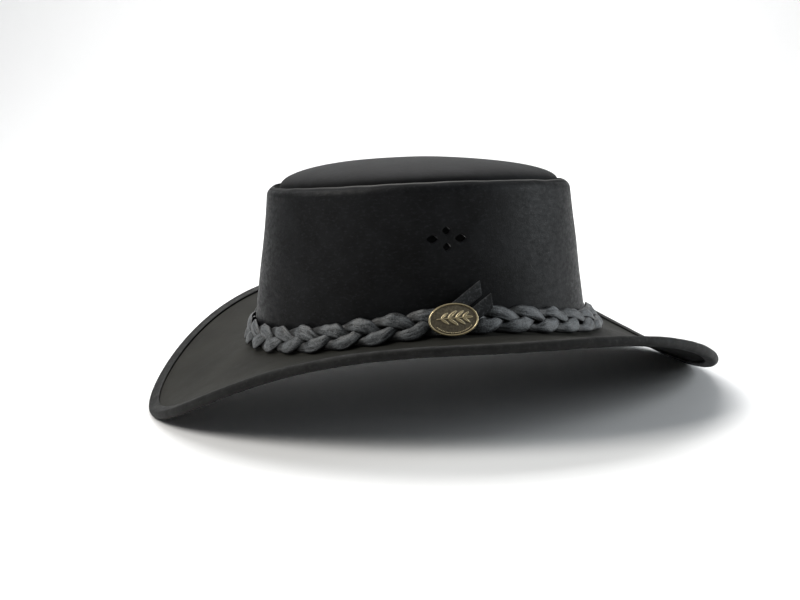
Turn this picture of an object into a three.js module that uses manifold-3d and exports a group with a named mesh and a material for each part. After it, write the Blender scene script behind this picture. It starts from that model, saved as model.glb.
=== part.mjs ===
// A moulded leather bush hat with a plaited leather band and an oval badge.
// Lengths are in millimetres. -X is the hat's front, +X its back, -Y the side with the badge, +Z is up.
// An angle round the hat is 0 at the front, a quarter turn at the badge and half a turn at the back.

import * as THREE from "three";
import { mergeVertices } from "three/addons/utils/BufferGeometryUtils.js";
import Module from "manifold-3d";

const wasm = await Module();
wasm.setup();

// Leather and clearances
const crownLeather = 2;
const brimLeather = 2;
const seatGap = 0.3;

// Crown wall, where it meets the brim and where it meets the shoulder
const headFront = 105.5;
const headBack = 106.5;
const headSide = 84.5;
const taperFront = 11.7;
const taperBack = 11.5;
const taperSide = 5;
const crownHeight = 85.5;
const crestDip = 4.4;

// Line where wall and brim would meet, which drops at the front and back
const baseDrop = 12.7;
const basePower = 3.6;

// Soft flare that joins the wall to the brim, and the seam hidden in it
const flareOut = { front: 6, side: 8, back: 22 };
const flareUp = { front: 9, side: 10, back: 20 };
const seamClimb = 0.5;

// Shoulder, raised crest, groove and dome of the crown's top
const shoulderDepth = 6;
const crestInset = 4;
const grooveWidth = { front: 5, side: 3, back: 5 };
const grooveDepth = { front: 2.6, side: 1.2, back: 2.6 };
const domeRise = 11.5;

// Brim, from the base line to its edge
const brimFront = 62.5;
const brimBack = 72.5;
const brimSide = 75.5;
const sweepBack = 20;
const edgeLift = 8.5;
const edgeDropFront = 47.5;
const edgeDropBack = 40.2;
const edgePowerFront = 3.8;
const edgePowerBack = 2.4;
const brimBow = { front: 1, side: 1.25, back: 1.2 };

// Strip folded round the brim's edge, over a thin wire
const bindingWidth = 5;
const bindingLeather = 1.2;
const wireRadius = 0.5;
const padDepth = 0.4;

// Vent holes, cut through both sides of the crown
const ventHeight = 54.4;
const ventForward = 7.3;
const ventSpacing = 8;
const ventRise = 4.5;
const ventLong = 6.6;
const ventShort = 4.6;

// Plaited band of three thongs
const bandWidth = 14.5;
const bandFoot = 0.37;
const thongWidth = 5;
const thongThickness = 1.7;
const plaitDepth = 1.75;
const plaitTurns = 11;
const plaitLead = 0.08;
const plaitStart = 0.35;

// Badge and the two strap ends behind it
const badgeForward = 7.6;
const badgeRaise = 0.5;
const badgeLong = 28.4;
const badgeTall = 18.4;
const badgeThickness = 2.6;
const badgeRim = 1.3;
const badgeRelief = 0.6;
const leafLong = 6.4;
const leafWide = 2.3;
const leafAngle = 38;
const leafRelief = 0.45;
const stemWide = 0.9;
const strapWidth = 7.2;
const strapThickness = 1.6;
const strapAngle = 33;
const strapReachUpper = 17.9;
const strapReachLower = 23.3;
const strapApart = 9.2;
const strapLift = -0.7;

// Fineness of the meshes
const crownSteps = 60;
const plaitSteps = 10;
const badgeCorners = 32;
const leafCorners = 8;

const turn = 2 * Math.PI;
const lerp = THREE.MathUtils.lerp;

// A size that has one value at each side and its own at the front and back.
function around(angle, { front, side, back }) {
  const c = Math.cos(angle);
  return lerp(side, c > 0 ? front : back, c * c);
}

// A point on an oval with its own half lengths to the front, the back and the sides.
function oval(angle, front, back, side, z) {
  const c = Math.cos(angle);
  return new THREE.Vector3(-(c > 0 ? front : back) * c, -side * Math.sin(angle), z);
}

function basePoint(angle) {
  const fall = 1 - Math.abs(Math.sin(angle)) ** basePower;
  return oval(angle, headFront, headBack, headSide, -baseDrop * fall);
}

function edgePoint(angle) {
  const c = Math.cos(angle);
  const drop = c > 0 ? edgeDropFront : edgeDropBack;
  const power = c > 0 ? edgePowerFront : edgePowerBack;
  const z = lerp(edgeLift, -drop, Math.abs(c) ** power);
  const edge = oval(angle, headFront + brimFront, headBack + brimBack, headSide + brimSide, z);
  edge.x += sweepBack * Math.sin(angle) ** 2;
  return edge;
}

// The brim's top surface: reach is 0 at the base line and 1 at the edge.
function brimPoint(angle, reach) {
  const base = basePoint(angle);
  const edge = edgePoint(angle);
  const point = base.clone().lerp(edge, reach);
  point.z = lerp(base.z, edge.z, reach ** around(angle, brimBow));
  return point;
}

function crestHeight(angle) {
  return crownHeight - crestDip * Math.cos(angle) ** 2;
}

// A point of the crown's top, inset from the wall's line and raised from the crest.
function topPoint(angle, inset, raised) {
  const front = headFront - taperFront - inset;
  const back = headBack - taperBack - inset;
  const side = headSide - taperSide - inset;
  return oval(angle, front, back, side, crestHeight(angle) + raised);
}

function wallPoint(angle, share) {
  return basePoint(angle).lerp(topPoint(angle, 0, -shoulderDepth), share);
}

function flareReach(angle) {
  return around(angle, flareOut) / basePoint(angle).distanceTo(edgePoint(angle));
}

// The flare is a curve from the brim, at climb 0, to the wall, at climb 1. Past 1 it goes on up the wall.
function flarePoint(angle, climb) {
  const base = basePoint(angle);
  const wallShare = around(angle, flareUp) / (topPoint(angle, 0, -shoulderDepth).z - base.z);
  if (climb > 1) return wallPoint(angle, wallShare * (2 * climb - 1));
  const low = brimPoint(angle, flareReach(angle)).lerp(base, climb);
  return low.lerp(base.lerp(wallPoint(angle, wallShare), climb), climb);
}

// Rows of the crown from the seam to the dome. Those marked inner also shape the inside of the leather.
const climbRows = [
  { climb: seamClimb, inner: true },
  { climb: 0.75, inner: true },
  { climb: 1, inner: true },
];
const wallRows = [
  { share: 0.35, inner: true },
  { share: 0.8, inner: true },
];
const shoulderRows = [
  { inset: 0, raised: -1, inner: true },
  { inset: 0.18, raised: -0.5, inner: true },
  { inset: 0.55, raised: -0.15, inner: true },
  { inset: 1, raised: 0, inner: false },
];
const domeRows = [
  { radius: 0.985, inner: true },
  { radius: 0.94, inner: false },
  { radius: 0.86, inner: true },
  { radius: 0.72, inner: false },
  { radius: 0.52, inner: true },
  { radius: 0.28, inner: false },
];

// Rows of the brim, as climbs of the flare and as shares of the way from the flare to the edge.
const brimClimbs = [0.34, 0.17, 0];
const brimShares = [0.2, 0.45, 0.7, 1];

function ring(pointAt, steps = crownSteps) {
  return Array.from({ length: steps }, (_, i) => pointAt(((i + 0.5) * turn) / steps));
}

// A skin over rows of points that close on themselves. A row of one point is a pole.
// Without poles the last row joins the first.
function skin(rows) {
  const steps = Math.max(...rows.map((row) => row.length));
  const starts = [];
  const positions = [];
  for (const row of rows) {
    starts.push(positions.length / 3);
    for (const p of row) positions.push(p.x, p.y, p.z);
  }
  const at = (r, i) => starts[r] + (i % rows[r].length);
  const index = [];
  const pairs = rows[0].length === 1 ? rows.length - 1 : rows.length;
  for (let r = 0; r < pairs; r++) {
    const next = (r + 1) % rows.length;
    for (let i = 0; i < steps; i++) {
      if (rows[r].length > 1) index.push(at(r, i), at(next, i), at(r, i + 1));
      if (rows[next].length > 1) index.push(at(r, i + 1), at(next, i), at(next, i + 1));
    }
  }
  const geometry = new THREE.BufferGeometry();
  geometry.setAttribute("position", new THREE.Float32BufferAttribute(positions, 3));
  geometry.setIndex(index);
  geometry.computeVertexNormals();
  return geometry;
}

// The same rows moved along the surface's own normal, away from the outside by one thickness.
function inside(rows, thickness) {
  return rows.map((row, r) =>
    row.map((point, i) => {
      const before = rows[Math.max(r - 1, 0)];
      const after = rows[Math.min(r + 1, rows.length - 1)];
      const along = row[(i + 1) % row.length].clone().sub(row[(i + row.length - 1) % row.length]);
      const up = after[i % after.length].clone().sub(before[i % before.length]);
      return point.clone().addScaledVector(up.cross(along).normalize(), thickness);
    }),
  );
}

function solidOf(geometry) {
  const bare = geometry.clone();
  bare.deleteAttribute("normal");
  bare.deleteAttribute("uv");
  const merged = mergeVertices(bare, 1e-4);
  const vertProperties = merged.attributes.position.array;
  const triVerts = new Uint32Array(merged.index.array);
  return new wasm.Manifold(new wasm.Mesh({ numProp: 3, vertProperties, triVerts }));
}

function geometryOf(solid) {
  const mesh = solid.getMesh();
  const geometry = new THREE.BufferGeometry();
  geometry.setAttribute("position", new THREE.BufferAttribute(mesh.vertProperties, 3));
  geometry.setIndex(new THREE.BufferAttribute(mesh.triVerts, 1));
  geometry.computeVertexNormals();
  return geometry;
}

function prism(points, depth) {
  return new THREE.ExtrudeGeometry(new THREE.Shape(points), { depth, bevelEnabled: false });
}

// One punched vent: a diamond with rounded corners.
function ventOutline(long, tall) {
  const corners = 12;
  const pinch = 1.5;
  return Array.from({ length: corners }, (_, i) => {
    const c = Math.cos((i * turn) / corners);
    const s = Math.sin((i * turn) / corners);
    const x = Math.sign(c) * Math.abs(c) ** pinch;
    const y = Math.sign(s) * Math.abs(s) ** pinch;
    return new THREE.Vector2((x * long) / 2, (y * tall) / 2);
  });
}

const vents = [
  { along: -1, up: 0, long: ventLong, tall: ventShort },
  { along: 1, up: 0, long: ventLong, tall: ventShort },
  { along: 0, up: 1, long: ventShort, tall: ventShort },
  { along: 0, up: -1, long: ventShort, tall: ventShort },
];

function ventCutter({ along, up, long, tall }) {
  const cutter = prism(ventOutline(long, tall), 2 * (headSide + brimSide));
  cutter.translate(0, 0, -(headSide + brimSide));
  cutter.rotateX(Math.PI / 2);
  return cutter.translate(along * ventSpacing - ventForward, 0, ventHeight + up * ventRise);
}

function domePoint(angle, radius) {
  const foot = topPoint(angle, crestInset + around(angle, grooveWidth), 0);
  const z = lerp(foot.z, crownHeight + domeRise, Math.sqrt(1 - radius * radius));
  return new THREE.Vector3(foot.x * radius, foot.y * radius, z);
}

function groovePoint(angle) {
  return topPoint(angle, crestInset + around(angle, grooveWidth) / 2, -around(angle, grooveDepth));
}

function upperWallPoint(angle, share) {
  return wallPoint(angle, lerp(around(angle, flareUp) / crownHeight, 1, share));
}

function crownGeometry() {
  const outer = [];
  const inner = [];
  const add = (isInner, pointAt) => {
    const points = ring(pointAt);
    outer.unshift(points);
    if (isInner) inner.push(points);
  };
  for (const row of climbRows) add(row.inner, (a) => flarePoint(a, row.climb));
  for (const row of wallRows) add(row.inner, (a) => upperWallPoint(a, row.share));
  for (const row of shoulderRows) {
    add(row.inner, (a) => topPoint(a, row.inset * crestInset, row.raised * shoulderDepth));
  }
  add(true, groovePoint);
  for (const row of domeRows) add(row.inner, (a) => domePoint(a, row.radius));
  const pole = new THREE.Vector3(0, 0, crownHeight + domeRise);
  const innerPole = new THREE.Vector3(0, 0, pole.z - crownLeather);
  const shell = solidOf(skin([[pole], ...outer, ...inside(inner, crownLeather), [innerPole]]));
  return geometryOf(vents.reduce((solid, vent) => solid.subtract(solidOf(ventCutter(vent))), shell));
}

function brimGeometry() {
  const seam = ring((a) => {
    const point = flarePoint(a, seamClimb);
    const down = flarePoint(a, brimClimbs[0]).sub(point).normalize();
    return point.addScaledVector(down, seatGap);
  });
  const flare = brimClimbs.map((climb) => ring((a) => flarePoint(a, climb)));
  const flat = brimShares.map((share) => ring((a) => brimPoint(a, lerp(flareReach(a), 1, share))));
  const top = [seam, ...flare, ...flat];
  return skin([...top, ...inside(top.toReversed(), brimLeather)]);
}

// Axes at a place on the brim's edge: out past the edge, and up from the brim's top.
function edgeFrame(angle) {
  const step = 0.01;
  const at = edgePoint(angle);
  const along = edgePoint(angle + step).sub(edgePoint(angle - step)).normalize();
  const out = at.clone().sub(brimPoint(angle, 0.95));
  out.addScaledVector(along, -out.dot(along)).normalize();
  return { at, out, up: new THREE.Vector3().crossVectors(out, along).normalize() };
}

function bindingGeometry() {
  const inner = brimLeather / 2 + seatGap;
  const outer = inner + bindingLeather;
  const bead = outer + wireRadius;
  const section = [
    { out: -bindingWidth, up: inner },
    { out: -bindingWidth, up: outer },
    { out: -0.4 * bindingWidth, up: outer },
    { out: 0, up: bead },
    { out: 0.75 * bead, up: 0.7 * bead },
    { out: bead, up: 0 },
    { out: 0.75 * bead, up: -0.7 * bead },
    { out: 0, up: -bead },
    { out: -0.4 * bindingWidth, up: -outer },
    { out: -bindingWidth, up: -outer },
    { out: -bindingWidth, up: -inner },
    { out: seatGap, up: -inner },
    { out: seatGap, up: inner },
  ];
  return skin(
    section.map(({ out, up }) =>
      ring((a) => {
        const frame = edgeFrame(a);
        const raised = up - brimLeather / 2;
        return frame.at.addScaledVector(frame.out, out).addScaledVector(frame.up, raised);
      }),
    ),
  );
}

// Axes at a place on the band: its middle line, across its width and out from the hat.
function bandFrame(angle) {
  const middle = (a) => {
    const low = flarePoint(a, bandFoot);
    let near = bandFoot;
    let far = 3;
    for (let i = 0; i < 24; i++) {
      const tried = (near + far) / 2;
      if (flarePoint(a, tried).distanceTo(low) < bandWidth) near = tried;
      else far = tried;
    }
    const high = flarePoint(a, near);
    return { at: low.clone().lerp(high, 0.5), across: high.sub(low).normalize() };
  };
  const step = 0.01;
  const { at, across } = middle(angle);
  const along = middle(angle + step).at.sub(middle(angle - step).at).normalize();
  const out = new THREE.Vector3().crossVectors(along, across).normalize();
  return { at, along, across, out };
}

const bandFaceOut = seatGap + 2 * plaitDepth + thongThickness;

function thongCentre(angle, phase) {
  const wave = plaitTurns * (angle + plaitLead * Math.sin(angle)) + phase;
  const frame = bandFrame(angle);
  const swing = (bandWidth - thongWidth) / 2;
  const raised = seatGap + thongThickness / 2 + plaitDepth * (1 - Math.sin(2 * wave));
  frame.at.addScaledVector(frame.across, swing * Math.sin(wave)).addScaledVector(frame.out, raised);
  return frame;
}

function thongGeometry(phase) {
  const steps = plaitTurns * plaitSteps;
  const step = 0.002;
  const section = [
    { wide: 0.5, thick: 0 },
    { wide: 0.28, thick: 0.5 },
    { wide: -0.28, thick: 0.5 },
    { wide: -0.5, thick: 0 },
    { wide: -0.28, thick: -0.5 },
    { wide: 0.28, thick: -0.5 },
  ];
  return skin(
    section.map(({ wide, thick }) =>
      ring((a) => {
        const { at, out } = thongCentre(a, phase);
        const along = thongCentre(a + step, phase).at.sub(thongCentre(a - step, phase).at).normalize();
        const across = new THREE.Vector3().crossVectors(out, along).normalize();
        const up = new THREE.Vector3().crossVectors(along, across);
        return at.addScaledVector(across, wide * thongWidth).addScaledVector(up, thick * thongThickness);
      }, steps),
    ),
  );
}

function ellipse(long, tall, corners) {
  return new THREE.EllipseCurve(0, 0, long / 2, tall / 2).getPoints(corners).slice(0, -1);
}

// The strap ends lie flat on the band's face. They start behind the badge, and their free end is cut upright.
function strapOutline({ from, reach, lift }, half) {
  const slope = Math.tan(THREE.MathUtils.degToRad(strapAngle));
  const rise = half / Math.cos(THREE.MathUtils.degToRad(strapAngle));
  const start = from * badgeLong;
  const middle = (x) => lift + slope * x;
  return [
    new THREE.Vector2(start, middle(start) - rise),
    new THREE.Vector2(reach, middle(reach) - rise),
    new THREE.Vector2(reach, middle(reach) + rise),
    new THREE.Vector2(start, middle(start) + rise),
  ];
}

const strapRise = strapApart / Math.cos(THREE.MathUtils.degToRad(strapAngle));
const straps = [
  { name: "strap_end_upper", from: -0.12, reach: strapReachUpper, lift: strapLift + strapRise / 2 },
  { name: "strap_end_lower", from: 0.15, reach: strapReachLower, lift: strapLift - strapRise / 2 },
];

// A sprig raised on the badge: pairs of leaves, with their places as shares of the badge's length.
const leafPairs = [
  { along: -0.25, size: 0.8 },
  { along: -0.11, size: 1 },
  { along: 0.04, size: 0.95 },
  { along: 0.18, size: 0.75 },
];
const endLeaf = { along: 0.19, size: 0.85 };

function raisedOval(long, wide, angle, along) {
  const oval = prism(ellipse(long, wide, leafCorners), badgeThickness / 2 + leafRelief);
  oval.translate(long / 2, 0, badgeThickness / 2).rotateZ(THREE.MathUtils.degToRad(angle));
  return solidOf(oval.translate(along * badgeLong, 0, 0));
}

function sprig() {
  const leaf = ({ along, size }, angle) => raisedOval(leafLong * size, leafWide * size, angle, along);
  const stemStart = leafPairs[0].along - 0.1;
  const stem = raisedOval((endLeaf.along - stemStart) * badgeLong + stemWide, stemWide, 0, stemStart);
  const pairs = leafPairs.flatMap((pair) => [leaf(pair, leafAngle), leaf(pair, -leafAngle)]);
  return [stem, leaf(endLeaf, 0), ...pairs];
}

function badgeGeometry() {
  const outline = ellipse(badgeLong, badgeTall, badgeCorners);
  const field = ellipse(badgeLong - 2 * badgeRim, badgeTall - 2 * badgeRim, badgeCorners);
  const rim = solidOf(prism(outline, badgeThickness + badgeRelief));
  const hollow = solidOf(prism(field, badgeThickness + badgeRelief).translate(0, 0, badgeThickness));
  let badge = sprig().reduce((solid, leaf) => solid.add(leaf), rim.subtract(hollow));
  for (const strap of straps) {
    const channel = prism(strapOutline(strap, strapWidth / 2 + seatGap), strapThickness + 2 * seatGap);
    badge = badge.subtract(solidOf(channel.translate(0, 0, -seatGap)));
  }
  return geometryOf(badge);
}

function leatherMaterial(color, roughness) {
  return new THREE.MeshStandardMaterial({ color, roughness, metalness: 0 });
}

const crownMaterial = leatherMaterial(0x26282a, 0.62);
const brimMaterial = leatherMaterial(0x2c2c2a, 0.6);
const bindingMaterial = leatherMaterial(0x1d1d1d, 0.5);
const bandMaterial = leatherMaterial(0x3c4246, 0.55);
const badgeMaterial = new THREE.MeshStandardMaterial({ color: 0x7a6a4a, roughness: 0.4, metalness: 0.9 });

function piece(name, geometry, material) {
  const mesh = new THREE.Mesh(geometry, material);
  mesh.name = name;
  return mesh;
}

// The badge and strap ends share a group whose axes are the band's own at the badge.
function badgeGroup() {
  const angle = Math.acos(badgeForward / headFront);
  const { at, along, across, out } = bandFrame(angle);
  const group = new THREE.Group();
  const axes = new THREE.Matrix4().makeBasis(along, across, out);
  group.quaternion.setFromRotationMatrix(axes);
  group.position.copy(at).addScaledVector(out, bandFaceOut + seatGap).addScaledVector(across, badgeRaise);
  group.add(piece("badge", badgeGeometry(), badgeMaterial));
  for (const strap of straps) {
    group.add(piece(strap.name, prism(strapOutline(strap, strapWidth / 2), strapThickness), bandMaterial));
  }
  return group;
}

// The tilt and height at which the front and the back of the edge both touch the ground.
function restingMatrix(geometry) {
  const points = geometry.getAttribute("position");
  let tilt = 0;
  let low = 0;
  for (let pass = 0; pass < 3; pass++) {
    const spin = new THREE.Matrix4().makeRotationY(tilt);
    const lowest = [new THREE.Vector3(0, 0, Infinity), new THREE.Vector3(0, 0, Infinity)];
    for (let i = 0; i < points.count; i++) {
      const p = new THREE.Vector3().fromBufferAttribute(points, i).applyMatrix4(spin);
      const end = p.x < 0 ? 0 : 1;
      if (p.z < lowest[end].z) lowest[end].copy(p);
    }
    const [front, back] = lowest;
    tilt += Math.atan2(back.z - front.z, back.x - front.x);
    low = Math.min(front.z, back.z);
  }
  return new THREE.Matrix4().makeRotationY(tilt).setPosition(0, 0, -low - padDepth);
}

// The binding's lowest places are pressed flat on the ground.
function pressedFlat(geometry, resting) {
  const size = 4 * (headBack + brimBack);
  const ground = new THREE.BoxGeometry(size, size, size).translate(0, 0, -size / 2);
  ground.applyMatrix4(resting.clone().invert());
  return geometryOf(solidOf(geometry).subtract(solidOf(ground)));
}

const binding = bindingGeometry();
const resting = restingMatrix(binding);

const hat = new THREE.Group();
hat.add(piece("crown", crownGeometry(), crownMaterial));
hat.add(piece("brim", brimGeometry(), brimMaterial));
hat.add(piece("brim_binding", pressedFlat(binding, resting), bindingMaterial));
["a", "b", "c"].forEach((letter, i) => {
  const thong = thongGeometry(plaitStart + (i * turn) / 3);
  hat.add(piece("plait_strand_" + letter, thong, bandMaterial));
});
hat.add(badgeGroup());
hat.applyMatrix4(resting);

const part = new THREE.Group();
part.add(hat);
part.updateMatrixWorld(true);
const middle = new THREE.Box3().setFromObject(part, true).getCenter(new THREE.Vector3());
hat.position.x -= middle.x;
hat.position.y -= middle.y;

export default part;
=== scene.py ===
import math

import bmesh
import bpy
import numpy as np
from mathutils import Matrix, Vector, noise


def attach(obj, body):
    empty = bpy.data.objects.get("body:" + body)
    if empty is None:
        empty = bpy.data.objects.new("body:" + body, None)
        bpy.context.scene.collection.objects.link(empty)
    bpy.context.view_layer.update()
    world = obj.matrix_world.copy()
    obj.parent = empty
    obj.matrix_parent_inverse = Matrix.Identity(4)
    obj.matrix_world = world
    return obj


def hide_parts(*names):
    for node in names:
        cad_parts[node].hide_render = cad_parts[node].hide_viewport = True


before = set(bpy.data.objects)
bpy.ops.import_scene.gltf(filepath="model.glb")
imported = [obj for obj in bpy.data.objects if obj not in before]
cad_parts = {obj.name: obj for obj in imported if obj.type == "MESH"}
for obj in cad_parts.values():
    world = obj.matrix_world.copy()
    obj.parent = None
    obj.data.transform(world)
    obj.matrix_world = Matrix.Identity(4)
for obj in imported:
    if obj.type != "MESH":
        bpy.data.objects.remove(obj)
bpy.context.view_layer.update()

# Lengths are millimetres in the hat's own axes: -X front, +X back, -Y the badge's side, +Z up.
# An angle round the hat is 0 at the front, a quarter turn at the badge, half a turn at the back.
# Three numbers for one value are those for the front, the sides and the back.
hat = {
    "front": 105.5, "back": 106.5, "side": 84.5,
    "taperFront": 11.7, "taperBack": 11.5, "taperSide": 5.0,
    "crownHeight": 85.5, "crestDip": 4.4, "shoulder": 6.0,
    "baseDrop": 12.7, "basePower": 3.6,
    "brimFront": 62.5, "brimBack": 72.5, "brimSide": 75.5,
    "sweepBack": 20.0, "edgeLift": 8.5, "dropFront": 47.5, "dropBack": 40.2,
    "droopFront": 3.8, "droopBack": 2.4, "brimRise": (1.0, 1.25, 1.2),
    "flareOut": (6, 8, 22), "flareUp": (9, 10, 20),
    "tiltDegrees": 1.1883, "moveX": -4.6437, "moveZ": 47.1023,
}


def around(angle, front, side, back):
    c = np.cos(angle)
    return side + (np.where(c > 0, front, back) - side) * c * c


def oval(angle, front, back, side, z):
    c = np.cos(angle)
    return np.stack([-np.where(c > 0, front, back) * c, -side * np.sin(angle), z + 0 * angle], -1)


def basePoint(angle):
    fall = 1 - np.abs(np.sin(angle)) ** hat["basePower"]
    return oval(angle, hat["front"], hat["back"], hat["side"], -hat["baseDrop"] * fall)


def edgePoint(angle):
    c = np.cos(angle)
    drop = np.where(c > 0, hat["dropFront"], hat["dropBack"])
    share = np.abs(c) ** np.where(c > 0, hat["droopFront"], hat["droopBack"])
    z = hat["edgeLift"] - (hat["edgeLift"] + drop) * share
    edge = oval(angle, hat["front"] + hat["brimFront"], hat["back"] + hat["brimBack"],
                hat["side"] + hat["brimSide"], z)
    edge[..., 0] += hat["sweepBack"] * np.sin(angle) ** 2
    return edge


def brimPoint(angle, reach):
    base, edge = basePoint(angle), edgePoint(angle)
    point = base + (edge - base) * reach[..., None]
    rise = reach ** around(angle, *hat["brimRise"])
    point[..., 2] = base[..., 2] + (edge[..., 2] - base[..., 2]) * rise
    return point


def topPoint(angle, inset, raised):
    z = hat["crownHeight"] - hat["crestDip"] * np.cos(angle) ** 2 + raised
    return oval(angle, hat["front"] - hat["taperFront"] - inset, hat["back"] - hat["taperBack"] - inset,
                hat["side"] - hat["taperSide"] - inset, z)


def wallPoint(angle, share):
    base = basePoint(angle)
    return base + (topPoint(angle, 0, -hat["shoulder"]) - base) * share[..., None]


def flareReach(angle):
    width = np.linalg.norm(edgePoint(angle) - basePoint(angle), axis=-1)
    return around(angle, *hat["flareOut"]) / width


def flarePoint(angle, climb):  # 0 on the brim, 1 on the wall, past 1 on up the wall
    base = basePoint(angle)
    wallShare = around(angle, *hat["flareUp"]) / (topPoint(angle, 0, -hat["shoulder"]) - base)[..., 2]
    t = np.minimum(climb, 1.0)[..., None]
    low = brimPoint(angle, flareReach(angle))
    low = low + (base - low) * t
    high = base + (wallPoint(angle, wallShare) - base) * t
    bend = low + (high - low) * t
    return np.where((climb > 1)[..., None], wallPoint(angle, wallShare * (2 * climb - 1)), bend)


def toWorld(points):
    tilt = math.radians(hat["tiltDegrees"])
    points = np.asarray(points, float)
    x, y, z = points[..., 0], points[..., 1], points[..., 2]
    xWorld = math.cos(tilt) * x + math.sin(tilt) * z + hat["moveX"]
    zWorld = math.cos(tilt) * z - math.sin(tilt) * x + hat["moveZ"]
    return np.stack([xWorld, y, zWorld], -1) / 1000


def unit(vectors):
    return vectors / np.linalg.norm(vectors, axis=-1, keepdims=True)


def addObject(name, data):
    added = bpy.data.objects.new(name, data)
    bpy.context.scene.collection.objects.link(added)
    return added


def meshFrom(name, points, faces):
    mesh = bpy.data.meshes.new(name)
    mesh.from_pydata(toWorld(points).tolist(), [], faces)
    mesh.validate()
    piece = addObject(name, mesh)
    mesh.polygons.foreach_set("use_smooth", [True] * len(mesh.polygons))
    return piece


def gridFaces(rowCount, columnCount, closedRows=False):
    rows = np.arange(rowCount if closedRows else rowCount - 1)
    columns = np.arange(columnCount)
    r, c = np.meshgrid(rows, columns, indexing="ij")
    nextRow, nextColumn = (r + 1) % rowCount, (c + 1) % columnCount
    corners = [r * columnCount + c, r * columnCount + nextColumn,
               nextRow * columnCount + nextColumn, nextRow * columnCount + c]
    return np.stack(corners, -1).reshape(-1, 4).tolist()


def finishModifiers(piece):  # turns the modifiers' result into a plain mesh
    depsgraph = bpy.context.evaluated_depsgraph_get()
    plain = bpy.data.meshes.new_from_object(piece.evaluated_get(depsgraph))
    piece.modifiers.clear()
    piece.data = plain
    return piece


def facesOutward(piece):  # merges doubles first
    shape = bmesh.new()
    shape.from_mesh(piece.data)
    bmesh.ops.remove_doubles(shape, verts=shape.verts, dist=1e-7)
    bmesh.ops.recalc_face_normals(shape, faces=shape.faces)
    shape.to_mesh(piece.data)
    shape.free()


def storeValues(piece, label, values, kind="FLOAT"):
    attribute = piece.data.attributes.new(label, kind, "POINT")
    key = "vector" if kind == "FLOAT_VECTOR" else "value"
    attribute.data.foreach_set(key, np.asarray(values, np.float32).ravel())


def thicken(piece, thickness):
    wall = piece.modifiers.new("wall", "SOLIDIFY")
    wall.thickness = thickness / 1000
    wall.offset = -1


def paintUndersideShade(piece, amount, steepness=3):  # painted shade: darkens faces that turn downward, and the same value raises their roughness
    normals = np.zeros(len(piece.data.vertices) * 3, np.float32)
    piece.data.vertices.foreach_get("normal", normals)
    storeValues(piece, "paintedShade", np.clip(-normals[2::3] * steepness, 0, 1) * amount)


# Materials

mixSlots = {"FLOAT": (2, 3, 0), "RGBA": (6, 7, 2)}  # two inputs and the output of a Mix node


class Paint:  # a material and short ways to add its nodes
    def __init__(self, name, noiseRoughness=0.5):
        self.material = bpy.data.materials.new(name)
        self.material.use_nodes = True
        self.nodes, self.links = self.material.node_tree.nodes, self.material.node_tree.links
        self.shader = self.nodes["Principled BSDF"]
        self.place = self.nodes.new("ShaderNodeTexCoord").outputs["Object"]
        self.noiseRoughness = noiseRoughness

    def feed(self, slot, value):
        if isinstance(value, bpy.types.NodeSocket):
            self.links.new(value, slot)
        elif slot.type == "RGBA":
            slot.default_value = (*value, 1)
        else:
            slot.default_value = value

    def give(self, label, value):
        self.feed(self.shader.inputs[label], value)

    def math(self, operation, *values):
        node = self.nodes.new("ShaderNodeMath")
        node.operation = operation
        for slot, value in zip(node.inputs, values):
            self.feed(slot, value)
        return node.outputs[0]

    def mix(self, kind, factor, first, second):
        node = self.nodes.new("ShaderNodeMix")
        node.data_type = kind
        firstSlot, secondSlot, result = mixSlots[kind]
        self.feed(node.inputs["Factor"], factor)
        self.feed(node.inputs[firstSlot], first)
        self.feed(node.inputs[secondSlot], second)
        return node.outputs[result]

    def attribute(self, label, output="Fac"):
        node = self.nodes.new("ShaderNodeAttribute")
        node.attribute_name = label
        return node.outputs[output]

    def noise(self, scale, detail, stretch=(1, 1, 1), source=None):
        mapping = self.nodes.new("ShaderNodeMapping")
        mapping.inputs["Scale"].default_value = stretch
        self.feed(mapping.inputs["Vector"], self.place if source is None else source)
        texture = self.nodes.new("ShaderNodeTexNoise")
        texture.inputs["Scale"].default_value = scale
        texture.inputs["Detail"].default_value = detail
        texture.inputs["Roughness"].default_value = self.noiseRoughness
        self.feed(texture.inputs["Vector"], mapping.outputs["Vector"])
        return texture.outputs["Fac"]

    def remap(self, source, fromSpan, toSpan):
        node = self.nodes.new("ShaderNodeMapRange")
        self.feed(node.inputs["Value"], source)
        for label, value in zip(("From Min", "From Max", "To Min", "To Max"), (*fromSpan, *toSpan)):
            node.inputs[label].default_value = value
        return node.outputs["Result"]

    def ramp(self, source, stops):
        node = self.nodes.new("ShaderNodeValToRGB")
        elements = node.color_ramp.elements
        elements[0].position, elements[-1].position = stops[0][0], stops[-1][0]
        for position, _ in stops[1:-1]:
            elements.new(position)
        for element, (_, colour) in zip(elements, stops):
            element.color = (*colour, 1)
        self.feed(node.inputs["Fac"], source)
        return node.outputs["Color"]

    def bump(self, height, strength, distance, normal=None):
        node = self.nodes.new("ShaderNodeBump")
        node.inputs["Strength"].default_value = strength
        node.inputs["Distance"].default_value = distance
        self.feed(node.inputs["Height"], height)
        if normal is not None:
            self.feed(node.inputs["Normal"], normal)
        return node.outputs["Normal"]


leatherLook = {  # what all smooth leathers here share
    "noiseRoughness": 0.6, "mottleDetail": 6, "mottleSpan": (0.35, 0.68),
    "scuffDetail": 7, "scuffSpan": (0.52, 0.74), "wearDetail": 8, "wearSpan": (0.3, 0.75),
    # crestHighlight is the colour of the painted highlight on the crest; paintedShade is the colour of
    # painted shade
    "crestHighlight": (0.11, 0.11, 0.105), "paintedShade": (0.0012, 0.0012, 0.0012),
    "grainSpan": (0, 0.25), "grainDepth": 0.0001, "roughDetail": 6, "roughDepth": 0.0004,
}


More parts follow.
